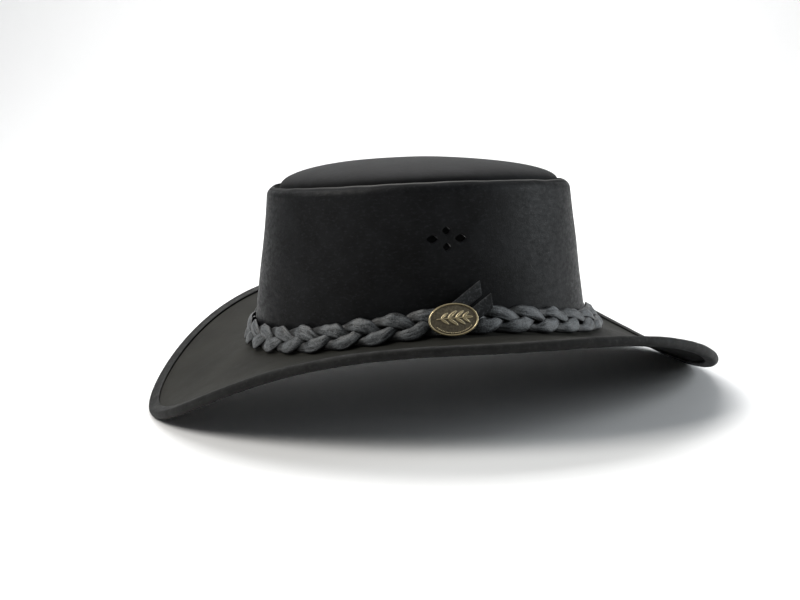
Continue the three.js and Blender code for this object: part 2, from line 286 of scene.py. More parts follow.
def leather(name, look):
    shared = leatherLook
    paint = Paint(name, shared["noiseRoughness"])
    smooth, paintedShade = paint.attribute("smooth"), paint.attribute("paintedShade")
    mottle = paint.noise(look["mottleScale"], shared["mottleDetail"])
    scuffs = paint.noise(look["scuffScale"], shared["scuffDetail"], look["wearStretch"])
    scuffs = paint.remap(scuffs, shared["scuffSpan"], (0, look["scuffAmount"]))
    scuffs = paint.math("MULTIPLY", scuffs, paint.math("SUBTRACT", 1.0, smooth))
    mottle = paint.remap(mottle, shared["mottleSpan"], (0, 1))
    colour = paint.mix("RGBA", mottle, look["dark"], look["light"])
    colour = paint.mix("RGBA", scuffs, colour, look["scuff"])
    # painted highlight along the crown's crest, where the crestHighlight mask is set
    colour = paint.mix("RGBA", paint.attribute("crestHighlight"), colour, shared["crestHighlight"])
    # painted shade: darkens the colour where the paintedShade mask is set; the same mask raises the
    # roughness below
    paint.give("Base Color", paint.mix("RGBA", paintedShade, colour, shared["paintedShade"]))

    worn = paint.noise(look["wearScale"], shared["wearDetail"], look["wearStretch"])
    worn = paint.remap(worn, shared["wearSpan"], look["roughness"])
    roughness = paint.mix("FLOAT", smooth, worn, look["evenRoughness"])
    paint.give("Roughness", paint.math("MAXIMUM", roughness, paintedShade))
    paint.give("Specular IOR Level", look["specular"])

    grain = paint.nodes.new("ShaderNodeTexVoronoi")
    grain.feature = "DISTANCE_TO_EDGE"
    grain.inputs["Scale"].default_value = look["grainScale"]
    paint.feed(grain.inputs["Vector"], paint.place)
    height = paint.remap(grain.outputs["Distance"], shared["grainSpan"], (0, 1))
    creases = paint.bump(height, look["grainStrength"], shared["grainDepth"])
    rough = paint.noise(look["roughScale"], shared["roughDetail"])
    paint.give("Normal", paint.bump(rough, look["roughStrength"], shared["roughDepth"], creases))
    return paint.material


crownLeather = leather("crownLeather", {
    "dark": (0.0025, 0.0027, 0.003), "light": (0.0075, 0.008, 0.009), "mottleScale": 60,
    "scuffScale": 420, "scuff": (0.022, 0.0235, 0.026), "scuffAmount": 0.5,
    "wearScale": 240, "wearStretch": (1, 1, 1.8),
    "roughness": (0.38, 0.66), "evenRoughness": 0.74, "specular": 0.14,
    "grainScale": 800, "grainStrength": 0.25, "roughScale": 300, "roughStrength": 0.4,
})
brimLeather = leather("brimLeather", {
    "dark": (0.0205, 0.0202, 0.0177), "light": (0.0295, 0.0289, 0.0253), "mottleScale": 45,
    "scuffScale": 300, "scuff": (0.034, 0.034, 0.031), "scuffAmount": 0.4,
    "wearScale": 90, "wearStretch": (1, 1, 1),
    "roughness": (0.68, 0.84), "evenRoughness": 0.75, "specular": 0.08,
    "grainScale": 900, "grainStrength": 0.2, "roughScale": 240, "roughStrength": 0.2,
})
bindingLeather = leather("bindingLeather", {
    "dark": (0.0042, 0.0042, 0.0041), "light": (0.011, 0.011, 0.0104), "mottleScale": 120,
    "scuffScale": 500, "scuff": (0.04, 0.04, 0.037), "scuffAmount": 0.4,
    "wearScale": 160, "wearStretch": (1, 1, 1),
    "roughness": (0.58, 0.78), "evenRoughness": 0.7, "specular": 0.18,
    "grainScale": 1000, "grainStrength": 0.2, "roughScale": 300, "roughStrength": 0.2,
})
strapLeather = leather("strapLeather", {
    "dark": (0.004, 0.0045, 0.005), "light": (0.014, 0.0155, 0.017), "mottleScale": 200,
    "scuffScale": 700, "scuff": (0.09, 0.097, 0.104), "scuffAmount": 0.8,
    "wearScale": 300, "wearStretch": (1, 1, 1),
    "roughness": (0.42, 0.7), "evenRoughness": 0.6, "specular": 0.4,
    "grainScale": 1000, "grainStrength": 0.15, "roughScale": 600, "roughStrength": 0.4,
})

napLook = {
    # paintedShade is the colour of the painted shade where thongs dive under one another and along their
    # edges
    "dark": (0.006, 0.0065, 0.007), "light": (0.175, 0.188, 0.197), "paintedShade": (0.003, 0.003, 0.003),
    "streaks": (260, 260, 1.6), "streakShare": 0.25, "blotches": (150, 150, 0.7), "blotchShare": 0.4,
    "lineDetail": 5, "pits": 1300, "pitDetail": 3, "pitShare": 0.35, "toneSpan": (0.41, 0.63),
    "roughSpan": (0.35, 0.65), "roughness": (0.34, 0.66), "specular": 0.6, "bump": 1.0, "depth": 0.0006,
}


def napLeather():  # soft thong leather: its streaks follow each thong by way of the attribute "nap"
    look = napLook
    paint = Paint("plaitLeather")
    nap = paint.attribute("nap", "Vector")
    streaks = paint.noise(1, look["lineDetail"], look["streaks"], nap)
    blotches = paint.noise(1, look["lineDetail"], look["blotches"], nap)
    pits = paint.noise(look["pits"], look["pitDetail"])
    lines = paint.math("ADD", paint.math("MULTIPLY", streaks, look["streakShare"]),
                       paint.math("MULTIPLY", blotches, look["blotchShare"]))
    tone = paint.math("ADD", lines, paint.math("MULTIPLY", pits, look["pitShare"]))
    colour = paint.ramp(tone, tuple(zip(look["toneSpan"], (look["dark"], look["light"]))))
    # painted shade: darkens the colour by the paintedShade mask from the thongs' node tree
    paint.give("Base Color", paint.mix("RGBA", paint.attribute("paintedShade"), colour, look["paintedShade"]))
    paint.give("Roughness", paint.remap(tone, look["roughSpan"], look["roughness"]))
    paint.give("Specular IOR Level", look["specular"])
    paint.give("Normal", paint.bump(tone, look["bump"], look["depth"]))
    return paint.material


plaitLeather = napLeather()
print("materials ready")

# Crown

crownLook = {
    "thickness": 2.0, "crestInset": 4.0, "domeRise": 11.5,
    "lowerEdge": 0.5, "flareRows": 12, "wallZero": 17.5, "firstRow": 20.0,
    "rowStep": 2.6, "fineStep": 0.55, "fineFrom": 45.0, "fineTo": 64.0,
    "shoulderRows": 14, "shoulderTurn": 68, "crestLip": (0.35, 0.12),
    "grooveFrom": 0.5, "grooveRows": 14, "groovePower": 0.8, "grooveSkew": 0.3,
    "grooveWide": (3.8, 2.6, 3.6), "grooveDeep": (2.4, 0.7, 2.4),
    "domeRows": 34, "domeFrom": 0.06, "domeBulge": (2.15, 2.1, 1.72), "domePower": 0.48,
    "coarseDegrees": 1.6, "fineDegrees": 0.42, "fineReach": 14, "fineGap": 0.6, "sharpDegrees": 55,
}
ventLook = {
    "height": 54.4, "forward": 7.3, "spacing": 8.0, "rise": 4.5, "long": 6.4, "short": 4.5, "sharp": 1.4,
    "sink": 0.35, "dent": 0.9, "dentReach": 8, "cutFrom": 55, "cutTo": 105, "corners": 32,
    "rimCorners": 240,
}
waverLook = {  # the unevenness of hand-moulded leather
    "outward": (105, 84), "pucker": 0.35, "puckerBelow": 3, "puckerSpan": 7, "puckerGrain": (5, 5, 26),
    "waver": 0.45, "waverGrain": 30, "waverFrom": 5, "waverSpan": 25,
    "domeShare": 0.5, "domeLift": 0.4, "crestRows": 3, "crestLift": 0.45, "crestGrain": 14,
    "crestSlice": 3,
}

markLook = {
    # the groove and paintedShade keys shape the painted shade in the groove; the crestHighlight keys shape
    # the painted highlight along the crest
    "groovePower": 1.5, "grooveGain": 1.1, "grooveLeast": 0.25, "paintedShadePower": 0.6,
    "crestHighlightPower": 2, "crestHighlightGain": 1.3, "crestHighlightRows": ((-1, 0.4), (0, 1.0), (1, 0.8)), "smoothFrom": -4,
}


def crownAngles():
    fine, reach = crownLook["fineDegrees"], crownLook["fineReach"]
    windows = [np.arange(side - reach, side + reach, fine) for side in (90, 270)]
    coarse = np.arange(0, 360, crownLook["coarseDegrees"])
    away = np.minimum(np.abs(coarse - 90), np.abs(coarse - 270)) > reach + crownLook["fineGap"]
    return np.radians(np.sort(np.concatenate([*windows, coarse[away]])))


def wallRows(angle):
    look = crownLook
    start = around(angle, *hat["flareUp"]) / hat["crownHeight"]
    wall = hat["crownHeight"] - hat["shoulder"]
    heights = [*np.arange(look["firstRow"], look["fineFrom"], look["rowStep"]),
               *np.arange(look["fineFrom"], look["fineTo"], look["fineStep"]),
               *np.arange(look["fineTo"], wall, look["rowStep"]), wall]
    shares = (np.array(heights) - look["wallZero"]) / (wall - look["wallZero"])
    return [wallPoint(angle, start + (1 - start) * share) for share in shares]


def shoulderRows(angle):
    turned = math.radians(crownLook["shoulderTurn"])
    rows = []
    for t in np.linspace(0, turned, crownLook["shoulderRows"])[1:]:
        inward = crownLook["crestInset"] * (1 - math.cos(t)) / (1 - math.cos(turned))
        rows.append(topPoint(angle, inward, hat["shoulder"] * (math.sin(t) / math.sin(turned) - 1)))
    return rows


def grooveRows(angle):
    look = crownLook
    inset, (lipIn, lipUp) = look["crestInset"], look["crestLip"]
    width, depth = around(angle, *look["grooveWide"]), around(angle, *look["grooveDeep"])
    rows = [topPoint(angle, inset + lipIn, lipUp)]
    for t in np.linspace(0, 1, look["grooveRows"])[1:]:
        skew = 1 + look["grooveSkew"] * (0.5 - t)
        z = -depth * math.sin(math.pi * t) ** look["groovePower"] * skew
        rows.append(topPoint(angle, inset + look["grooveFrom"] + t * width, z))
    return rows


def domeRows(angle):
    look = crownLook
    width = around(angle, *look["grooveWide"])
    foot = topPoint(angle, look["crestInset"] + look["grooveFrom"] + width, 0)
    top = hat["crownHeight"] + look["domeRise"]
    bulge = around(angle, *look["domeBulge"])
    rows = []
    for radius in np.cos(np.linspace(look["domeFrom"], math.pi / 2, look["domeRows"]))[:-1]:
        point = foot * radius
        point[:, 2] = foot[:, 2] + (top - foot[:, 2]) * (1 - radius ** bulge) ** look["domePower"]
        rows.append(point)
    return rows


def crownRows(angle):  # all rows, with the numbers of the crest's row and of the groove's inner row
    climbs = np.linspace(crownLook["lowerEdge"], 1, crownLook["flareRows"])
    rows = [flarePoint(angle, np.full_like(angle, climb)) for climb in climbs]
    rows += wallRows(angle) + shoulderRows(angle)
    crest = len(rows) - 1
    rows += grooveRows(angle)
    valley = len(rows) - 1
    return np.array(rows + domeRows(angle)), crest, valley


def ventOutline(long, count):  # a rounded diamond
    turn = np.linspace(0, 2 * math.pi, count, endpoint=False)
    x, z = (np.sign(wave) * np.abs(wave) ** ventLook["sharp"] for wave in (np.cos(turn), np.sin(turn)))
    return x * long / 2, z * ventLook["short"] / 2


def ventPlaces():  # side, middle and length of each vent, four on each side of the crown
    for side in (-1, 1):
        for along, up in ((-1, 0), (1, 0), (0, 1), (0, -1)):
            middle = np.array([along * ventLook["spacing"] - ventLook["forward"],
                               ventLook["height"] + up * ventLook["rise"]])
            yield side, middle, ventLook["long"] if up == 0 else ventLook["short"]


def dentVents(points):  # the leather sinks a little round each punched hole
    for side, middle, long in ventPlaces():
        offset = points[:, [0, 2]] - middle
        distance = np.hypot(*offset.T)
        x, z = ventOutline(long, ventLook["rimCorners"])
        turns = np.append(np.arctan2(z, x) % (2 * math.pi), 2 * math.pi)
        reach = np.interp(np.arctan2(offset[:, 1], offset[:, 0]) % (2 * math.pi), turns,
                          np.append(np.hypot(x, z), long / 2))
        sink = ventLook["sink"] * np.exp(-np.maximum(distance - reach, 0) / ventLook["dent"])
        near = (distance < ventLook["dentReach"]) & (points[:, 1] * side > 0)
        points[:, 1] -= side * np.where(near, sink, 0)
    return points


def ventCutter():
    points, faces, count = [], [], ventLook["corners"]
    for side, middle, long in ventPlaces():
        x, z = ventOutline(long, count)
        first = len(points)
        for y in (side * ventLook["cutFrom"], side * ventLook["cutTo"]):
            points += [[middle[0] + u, y, middle[1] + v] for u, v in zip(x, z)]
        for c in range(count):
            following = (c + 1) % count
            faces.append([first + c, first + following, first + count + following, first + count + c])
        faces += [list(range(first, first + count)), list(range(first + count, first + 2 * count))]
    cutter = meshFrom("ventCutter", points, faces)
    facesOutward(cutter)
    return cutter


def waverCrown(points, columnCount, crest):
    look = waverLook
    wideFront, wideSide = look["outward"]
    for i, p in enumerate(points):
        row = i // columnCount
        out = Vector((p[0] / wideFront, p[1] / wideSide, 0))
        fromRidge = hat["crownHeight"] - look["puckerBelow"] - p[2]
        high = math.exp(-(fromRidge / look["puckerSpan"]) ** 2) if row <= crest else 0
        lobe = noise.noise(Vector(p / look["puckerGrain"]))
        waver = noise.noise(Vector(p) / look["waverGrain"]) * look["waver"]
        climbed = min(1, max(0, (p[2] - look["waverFrom"]) / look["waverSpan"]))
        amount = look["pucker"] * high * lobe + waver * climbed
        if row > crest:
            amount *= look["domeShare"]
            p[2] += look["domeLift"] * amount
        if out.length > 1e-6:
            p += np.array(out.normalized() * amount)
        if abs(row - crest) < look["crestRows"]:
            grain = look["crestGrain"]
            place = Vector((p[0] / grain, p[1] / grain, look["crestSlice"]))
            p[2] += look["crestLift"] * noise.noise(place)


def markCrown(crown, angle, crest, valley):  # painted shade in the groove, a painted highlight along the crest, and where the leather is smooth
    look, columnCount = markLook, len(angle)
    paintedShade, crestHighlight, smooth = (np.zeros(len(crown.data.vertices)) for _ in range(3))

    def inRow(row):
        return slice(row * columnCount, (row + 1) * columnCount)

    # painted shade in the groove, strongest towards the front and back
    deep = np.abs(np.cos(angle)) ** look["groovePower"] * look["grooveGain"]
    deep = np.clip(deep, look["grooveLeast"], 1)
    for row in range(crest + 2, valley + 1):
        t = (row - crest - 1) / (valley - crest)
        paintedShade[inRow(row)] = deep * math.sin(math.pi * t) ** look["paintedShadePower"]
    # painted highlight along the crest rows, strongest at the sides
    nearSides = np.clip(np.abs(np.sin(angle)) ** look["crestHighlightPower"] * look["crestHighlightGain"], 0, 1)
    for offset, amount in look["crestHighlightRows"]:
        crestHighlight[inRow(crest + offset)] = nearSides * amount
    smooth[(crest + look["smoothFrom"]) * columnCount:] = 1
    for label, values in (("paintedShade", paintedShade), ("crestHighlight", crestHighlight), ("smooth", smooth)):
        storeValues(crown, label, values)


def buildCrown():
    angle = crownAngles()
    rows, crest, valley = crownRows(angle)
    rowCount, columnCount = rows.shape[:2]
    points = dentVents(rows.reshape(-1, 3))
    pole = len(points)
    points = np.vstack([points, [0, 0, hat["crownHeight"] + crownLook["domeRise"]]])
    last = (rowCount - 1) * columnCount
    faces = gridFaces(rowCount, columnCount)
    faces += [[last + c, last + (c + 1) % columnCount, pole] for c in range(columnCount)]
    waverCrown(points, columnCount, crest)
    crown = meshFrom("crownShell", points, faces)
    markCrown(crown, angle, crest, valley)
    facesOutward(crown)
    thicken(crown, crownLook["thickness"])
    cutter = ventCutter()
    cut = crown.modifiers.new("vents", "BOOLEAN")
    cut.object = cutter
    cut.solver = "EXACT"
    finishModifiers(crown)
    bpy.data.objects.remove(cutter)
    crown.data.set_sharp_from_angle(angle=math.radians(crownLook["sharpDegrees"]))
    crown.data.materials.append(crownLeather)
    return crown


crown = buildCrown()
print("crown", len(crown.data.polygons), "faces")

# Brim

brimLook = {
    "thickness": 2.0, "flareRows": 14, "flatRows": 44, "steps": 300,
    "flareTop": 0.49, "tuckTo": 0.58, "tuckIn": 0.992, "tuckDown": 0.8,
    # undersideShade sets how dark the painted shade on downward faces is
    "waver": 0.35, "waverGrain": 34, "waverRows": 12, "waverPower": 0.5, "undersideShade": 0.9,
}


def buildBrim():
    look = brimLook
    angle = np.linspace(0, 2 * math.pi, look["steps"], endpoint=False)
    tucked = flarePoint(angle, np.full_like(angle, look["tuckTo"]))  # the inner edge, under the crown
    tucked[:, :2] *= look["tuckIn"]
    tucked[:, 2] -= look["tuckDown"]
    climbs = np.linspace(look["flareTop"], 0, look["flareRows"])
    rows = [tucked, *(flarePoint(angle, np.full_like(angle, climb)) for climb in climbs)]
    start = flareReach(angle)
    for t in np.linspace(0, 1, look["flatRows"])[1:]:
        rows.append(brimPoint(angle, start + (1 - start) * t))
    rows = np.array(rows)
    inward = np.linspace(1, 0, len(rows)) ** look["waverPower"]
    for r, row in enumerate(rows):
        amount = look["waver"] * inward[r] * min(1, r / look["waverRows"])
        for p in row:
            p[2] += amount * noise.noise(Vector(p) / look["waverGrain"])
    brim = meshFrom("brimShell", rows.reshape(-1, 3), gridFaces(*rows.shape[:2]))
    facesOutward(brim)
    if sum(face.normal.z for face in brim.data.polygons) < 0:
        brim.data.flip_normals()
    thicken(brim, look["thickness"])
    finishModifiers(brim)
    # painted shade on the brim's downward faces
    paintUndersideShade(brim, look["undersideShade"])
    brim.data.materials.append(brimLeather)
    return brim


brim = buildBrim()
print("brim", len(brim.data.polygons), "faces")

# Binding round the brim's edge

bindingLook = {  # "hem" is measured from the inner border, "swells" in shares of the width
    "width": 5.0, "leather": 1.2, "gap": 0.3, "wire": 0.5, "steps": 420,
    "beadTurn": 75, "beadCorners": 11, "innerOut": 0.4, "waver": 0.12, "waverGrain": 9,
    # undersideShade sets how dark the painted shade on downward faces is
    "undersideShade": 0.5, "slopeFrom": 0.95,
    "hem": ((0, -0.45), (0.25, -0.12), (0.7, 0)), "swells": ((0.62, 0.05), (0.4, -0.02), (0.22, 0.12)),
}


smallTurn = 0.01  # radians, to either side of a place to find a path's direction there


def edgeAxes(angle):
    at = edgePoint(angle)
    along = unit(edgePoint(angle + smallTurn) - edgePoint(angle - smallTurn))
    out = at - brimPoint(angle, np.full_like(angle, bindingLook["slopeFrom"]))
    out = unit(out - along * (out * along).sum(-1, keepdims=True))
    return at, out, np.cross(out, along)


def bindingSection():  # how far out from the brim's edge, and how far up from the brim's middle
    width, inner = bindingLook["width"], (brimLook["thickness"] + bindingLook["gap"]) / 2
    outer = inner + bindingLook["leather"]
    bead = outer + bindingLook["wire"]
    upper = [(-width, inner)]
    upper += [(x - width, outer + z) for x, z in bindingLook["hem"]]
    upper += [(-share * width, outer + z) for share, z in bindingLook["swells"]]
    turn = bindingLook["beadTurn"]
    turns = np.radians(np.linspace(turn, -turn, bindingLook["beadCorners"]))
    rounded = [(bead * math.cos(t), bead * math.sin(t)) for t in turns]
    lower = [(x, -z) for x, z in reversed(upper)]
    innerOut = bindingLook["innerOut"]
    return upper + rounded + lower + [(innerOut, -inner), (innerOut, inner)]


def buildBinding():
    angle = np.linspace(0, 2 * math.pi, bindingLook["steps"], endpoint=False)
    at, out, up = edgeAxes(angle)
    down = brimLook["thickness"] / 2
    rows = np.array([at + out * x + up * (z - down) for x, z in bindingSection()])
    for p in rows.reshape(-1, 3):
        p += bindingLook["waver"] * noise.noise(Vector(p) / bindingLook["waverGrain"])
    binding = meshFrom("bindingStrip", rows.reshape(-1, 3), gridFaces(*rows.shape[:2], closedRows=True))
    for vertex in binding.data.vertices:  # pressed flat where it rests
        vertex.co.z = max(vertex.co.z, 0)
    facesOutward(binding)
    # painted shade on the binding's downward faces
    paintUndersideShade(binding, bindingLook["undersideShade"])
    binding.data.materials.append(bindingLeather)
    return binding


binding = buildBinding()
print("binding", len(binding.data.polygons), "faces")

# Plait of three thongs, shaped by Geometry Nodes over the path of the band

plaitLook = {  # the capitalised ones are inputs of the thongs' node tree
    "Thong Width": 7.0, "Spread": 1.2, "Sharp": 0.4, "Thickness": 1.6,
    "Swing": 4.7, "Shift": 0.35, "Kink": 0.15, "Depth": 1.1, "Snap": 1.6, "Slip": 0.7, "Peak": 2.1,
    "Turns": 11.0, "Lead": 0.08, "Rock": 0.2, "Cup": 0.25, "Curl": 0.8, "Lift": 2.55,
    "start": 0.35, "steps": 720, "corners": 20, "boxiness": 0.5,
    "bandWidth": 14.5, "foot": 0.37, "farthest": 3.0, "halvings": 24,
    "lumpRun": 17, "lumpPhase": 7, "napSide": 4,
}
lumpShare = {"wide": 1.6, "thick": 0.35, "across": 0.6, "out": 0.2}
# painted shade of the thongs: where each dives under the others, and along its edges between the lobes
plaitShadeLook = {"under": 0.9, "from": 0.12, "edgeAt": 0.78, "edgeSlope": 6.0, "most": 0.92}


def bandAxes(angle):
    foot = plaitLook["foot"]

    def middle(a):
        low = flarePoint(a, np.full_like(a, foot))
        near, far = np.full_like(a, foot), np.full_like(a, plaitLook["farthest"])
        for _ in range(plaitLook["halvings"]):
            tried = (near + far) / 2
            short = np.linalg.norm(flarePoint(a, tried) - low, axis=-1) < plaitLook["bandWidth"]
            near, far = np.where(short, tried, near), np.where(short, far, tried)
        high = flarePoint(a, near)
        return (low + high) / 2, unit(high - low)

    at, across = middle(angle)
    along = unit(middle(angle + smallTurn)[0] - middle(angle - smallTurn)[0])
    return at, along, across, unit(np.cross(along, across))


class Term:  # a number in a node tree that adds and multiplies like one
    def __init__(self, tree, socket):
        self.tree, self.socket = tree, socket

    def math(self, operation, *others):
        node = self.tree.nodes.new("ShaderNodeMath")
        node.operation = operation
        for slot, value in zip(node.inputs, (self, *others)):
            if isinstance(value, Term):
                self.tree.links.new(value.socket, slot)
            else:
                slot.default_value = value
        return Term(self.tree, node.outputs[0])

    def __add__(self, other):
        return self.math("ADD", other)

    def __sub__(self, other):
        return self.math("SUBTRACT", other)

    def __mul__(self, other):
        return self.math("MULTIPLY", other)

    def sin(self):
        return self.math("SINE")

    def cos(self):
        return self.math("COSINE")

    def squash(self, amount):  # flattens the top and the foot of a wave
        return (self * amount).math("TANH").math("DIVIDE", amount.math("TANH"))


def newTree(name, inputs):
    tree = bpy.data.node_groups.new(name, "GeometryNodeTree")
    tree.interface.new_socket("Geometry", in_out="INPUT", socket_type="NodeSocketGeometry")
    tree.interface.new_socket("Geometry", in_out="OUTPUT", socket_type="NodeSocketGeometry")
    for label, value in inputs.items():
        socket = tree.interface.new_socket(label, in_out="INPUT", socket_type="NodeSocketFloat")
        socket.default_value = value
    return tree, tree.nodes.new("NodeGroupInput"), tree.nodes.new("NodeGroupOutput")


def endTree(tree, geometry, groupOutput, material):
    realize = tree.nodes.new("GeometryNodeRealizeInstances")
    paint = tree.nodes.new("GeometryNodeSetMaterial")
    paint.inputs["Material"].default_value = material
    tree.links.new(geometry, realize.inputs[0])
    tree.links.new(realize.outputs[0], paint.inputs["Geometry"])
    tree.links.new(paint.outputs[0], groupOutput.inputs[0])


def applyTree(piece, tree, values):
    modifier = piece.modifiers.new(tree.name, "NODES")
    modifier.node_group = tree
    for item in tree.interface.items_tree:
        if item.in_out == "INPUT" and item.name in values:
            modifier[item.identifier] = float(values[item.name])
    return finishModifiers(piece)


def plaitTree(material):
    names = [*(n for n in plaitLook if n[0].isupper()), "Phase"]
    tree, groupInput, groupOutput = newTree("plaitThong", {n: plaitLook.get(n, 0.0) for n in names})
    give = {n: Term(tree, groupInput.outputs[n]) for n in names}

    def named(label, kind="FLOAT"):
        node = tree.nodes.new("GeometryNodeInputNamedAttribute")
        node.data_type = kind
        node.inputs["Name"].default_value = label
        return Term(tree, node.outputs["Attribute"])

    def scaled(vector, amount):
        node = tree.nodes.new("ShaderNodeVectorMath")
        node.operation = "SCALE"
        tree.links.new(vector.socket, node.inputs[0])
        tree.links.new(amount.socket, node.inputs["Scale"])
        return Term(tree, node.outputs[0])

    def added(first, second):
        node = tree.nodes.new("ShaderNodeVectorMath")
        tree.links.new(first.socket, node.inputs[0])
        tree.links.new(second.socket, node.inputs[1])
        return Term(tree, node.outputs[0])

    angle, side, thick, lump = named("angle"), named("side"), named("thick"), named("lump")
    wave = (angle + angle.sin() * give["Lead"]) * give["Turns"] + give["Phase"]
    beat = wave - give["Peak"]  # 0 and half a turn where the thong lies on top and is widest
    swell = (beat * 2.0).cos().squash(give["Snap"]) * give["Spread"] + (beat * 4.0).cos() * give["Sharp"]
    rock = beat.cos() * give["Rock"] - wave.sin() * give["Cup"]
    sideways = side * (give["Thong Width"] + swell + lump * lumpShare["wide"]) * 0.5
    bulk = lump * lumpShare["thick"] + 1.0
    upright = thick * give["Thickness"] * 0.5 * bulk - side * side * give["Curl"]
    path = (wave + give["Shift"] + (wave * 2.0).sin() * give["Kink"]).sin() * give["Swing"]
    over = ((wave * 2.0 + give["Slip"]).sin() * -1.0).squash(give["Snap"])
    across = path + sideways * rock.cos() - upright * rock.sin() + lump * lumpShare["across"]
    outward = give["Lift"] + over * give["Depth"] + sideways * rock.sin() + upright * rock.cos()
    outward = outward + lump * lumpShare["out"]
    middle, acrossAxis, outAxis = (named(n, "FLOAT_VECTOR") for n in ("middle", "across", "out"))
    place = added(middle, added(scaled(acrossAxis, across * 0.001), scaled(outAxis, outward * 0.001)))
    move = tree.nodes.new("GeometryNodeSetPosition")
    tree.links.new(groupInput.outputs["Geometry"], move.inputs["Geometry"])
    tree.links.new(place.socket, move.inputs["Position"])
    # painted shade: a mask that darkens each thong where it dives under the others and near its edges
    # between the lobes
    shade = tree.nodes.new("GeometryNodeStoreNamedAttribute")
    shade.data_type = "FLOAT"
    shade.domain = "POINT"
    shade.inputs["Name"].default_value = "paintedShade"
    under = (over * -plaitShadeLook["under"] + plaitShadeLook["from"]).math("MAXIMUM", 0.0)
    edge = (side.math("ABSOLUTE") - plaitShadeLook["edgeAt"]) * plaitShadeLook["edgeSlope"]
    dark = (under + edge.math("MAXIMUM", 0.0)).math("MINIMUM", plaitShadeLook["most"])
    tree.links.new(dark.socket, shade.inputs["Value"])
    tree.links.new(move.outputs[0], shade.inputs["Geometry"])
    endTree(tree, shade.outputs[0], groupOutput, material)
    return tree


def buildThong(name, tree, phase):
    steps, corners = plaitLook["steps"], plaitLook["corners"]
    angle = np.linspace(0, 2 * math.pi, steps, endpoint=False)
    at, _, across, out = bandAxes(angle)
    turn = np.linspace(0, 2 * math.pi, corners, endpoint=False)
    side = np.cos(turn)
    thick = np.sign(np.sin(turn)) * np.abs(np.sin(turn)) ** plaitLook["boxiness"]
    points = np.repeat(at[None], corners, 0).reshape(-1, 3)
    thong = meshFrom(name, points, gridFaces(corners, steps, closedRows=True))
    origin, middle = toWorld([[0, 0, 0]])[0], toWorld(at)
    run = np.stack([np.cos(angle), np.sin(angle)], -1) * plaitLook["lumpRun"]
    own = phase * plaitLook["lumpPhase"]
    lump = [noise.noise(Vector((*place, own + s))) for s in side for place in run]
    ownSide = np.repeat(side, steps) * plaitLook["napSide"] + phase
    nap = np.concatenate([np.tile(middle[:, :2], (corners, 1)), ownSide[:, None]], 1)
    for label, values in (("angle", np.tile(angle, corners)), ("side", np.repeat(side, steps)),
                          ("thick", np.repeat(thick, steps)), ("lump", lump)):
        storeValues(thong, label, values)
    for label, vectors in (("middle", middle), ("across", (toWorld(across) - origin) * 1000),
                           ("out", (toWorld(out) - origin) * 1000)):
        storeValues(thong, label, np.tile(vectors, (corners, 1)), "FLOAT_VECTOR")
    storeValues(thong, "nap", nap, "FLOAT_VECTOR")
    applyTree(thong, tree, {**plaitLook, "Phase": phase})
    facesOutward(thong)
    return thong


thongTree = plaitTree(plaitLeather)
thongs = [
    buildThong(f"thong{letter.upper()}", thongTree, plaitLook["start"] + i * 2 * math.pi / 3)
    for i, letter in enumerate("abc")
]
print("plait", sum(len(t.data.polygons) for t in thongs), "faces")

# Badge and strap ends share the band's axes at the badge

badgeLook = {
    "forward": 7.6, "raise": 0.5, "seat": 5.8, "long": 28.4, "tall": 18.4, "base": 2.3, "dome": 0.5,
    "rimWidth": 1.05, "rimHeight": 0.7, "rimPower": 0.6, "rimRows": 13, "relief": 0.42,
    "columns": 300, "fieldRows": 90, "fieldFrom": 0.004, "fieldEdge": 1.25,
    "rimFrom": 1.18, "rimTo": 0.02, "rimFit": (1.05, 0.02),
    "grain": 0.02, "grainTurns": 9, "dotShare": 0.8, "backHeight": 0.6,
    "under": ((1.0, 2.1), (0.995, 1.4), (0.96, 0.9), (0.9, 0.6), (0.02, 0.6)),
}
leafLook = {
    "long": 6.8, "wide": 2.6, "angle": 38, "base": 1.1, "taper": 0.35, "edge": 2.4,
    "vein": 0.55, "veinWidth": 0.13, "ridge": 0.25,
}
sprigLook = {
    "up": 0.7, "stemFrom": -9.6, "stemTo": 6, "stemWide": 0.36, "stemHigh": 0.8, "stemSteep": 1.3,
    "pairs": ((-0.25, 0.8), (-0.11, 1), (0.04, 0.95), (0.18, 0.75)), "tip": (0.19, 0.85),
}
dotLook = {"ring": 0.8, "size": 0.36, "step": 5.2, "from": 212, "to": 329, "steep": 1.2}


def badgeAxes():
    angle = np.array([math.acos(badgeLook["forward"] / hat["front"])])
    at, along, across, out = (v[0] for v in bandAxes(angle))
    return at + out * badgeLook["seat"] + across * badgeLook["raise"], along, across, out


badgeOrigin, badgeAlong, badgeAcross, badgeOut = badgeAxes()


def onBadge(x, y, z):
    x, y, z = (np.asarray(v, float)[..., None] for v in (x, y, z))
    return badgeOrigin + x * badgeAlong + y * badgeAcross + z * badgeOut


def leafHeight(x, y, startX, size, angle):
    c, s = math.cos(angle), math.sin(angle)
    long, wide = leafLook["long"] * size, leafLook["wide"] * size
    u = ((x - startX) * c + y * s) / long
    v = (-(x - startX) * s + y * c) / (wide / 2)
    half = np.sqrt(np.clip(1 - (2 * u - 1) ** 2, 0, 1)) * (leafLook["base"] - leafLook["taper"] * u)
    inside = np.clip((half - np.abs(v)) * leafLook["edge"], 0, 1) * ((u > 0) & (u < 1))
    vein = 1 - leafLook["vein"] * np.exp(-((v / leafLook["veinWidth"]) ** 2))
    return inside * vein * (1 - leafLook["ridge"] * np.abs(v))


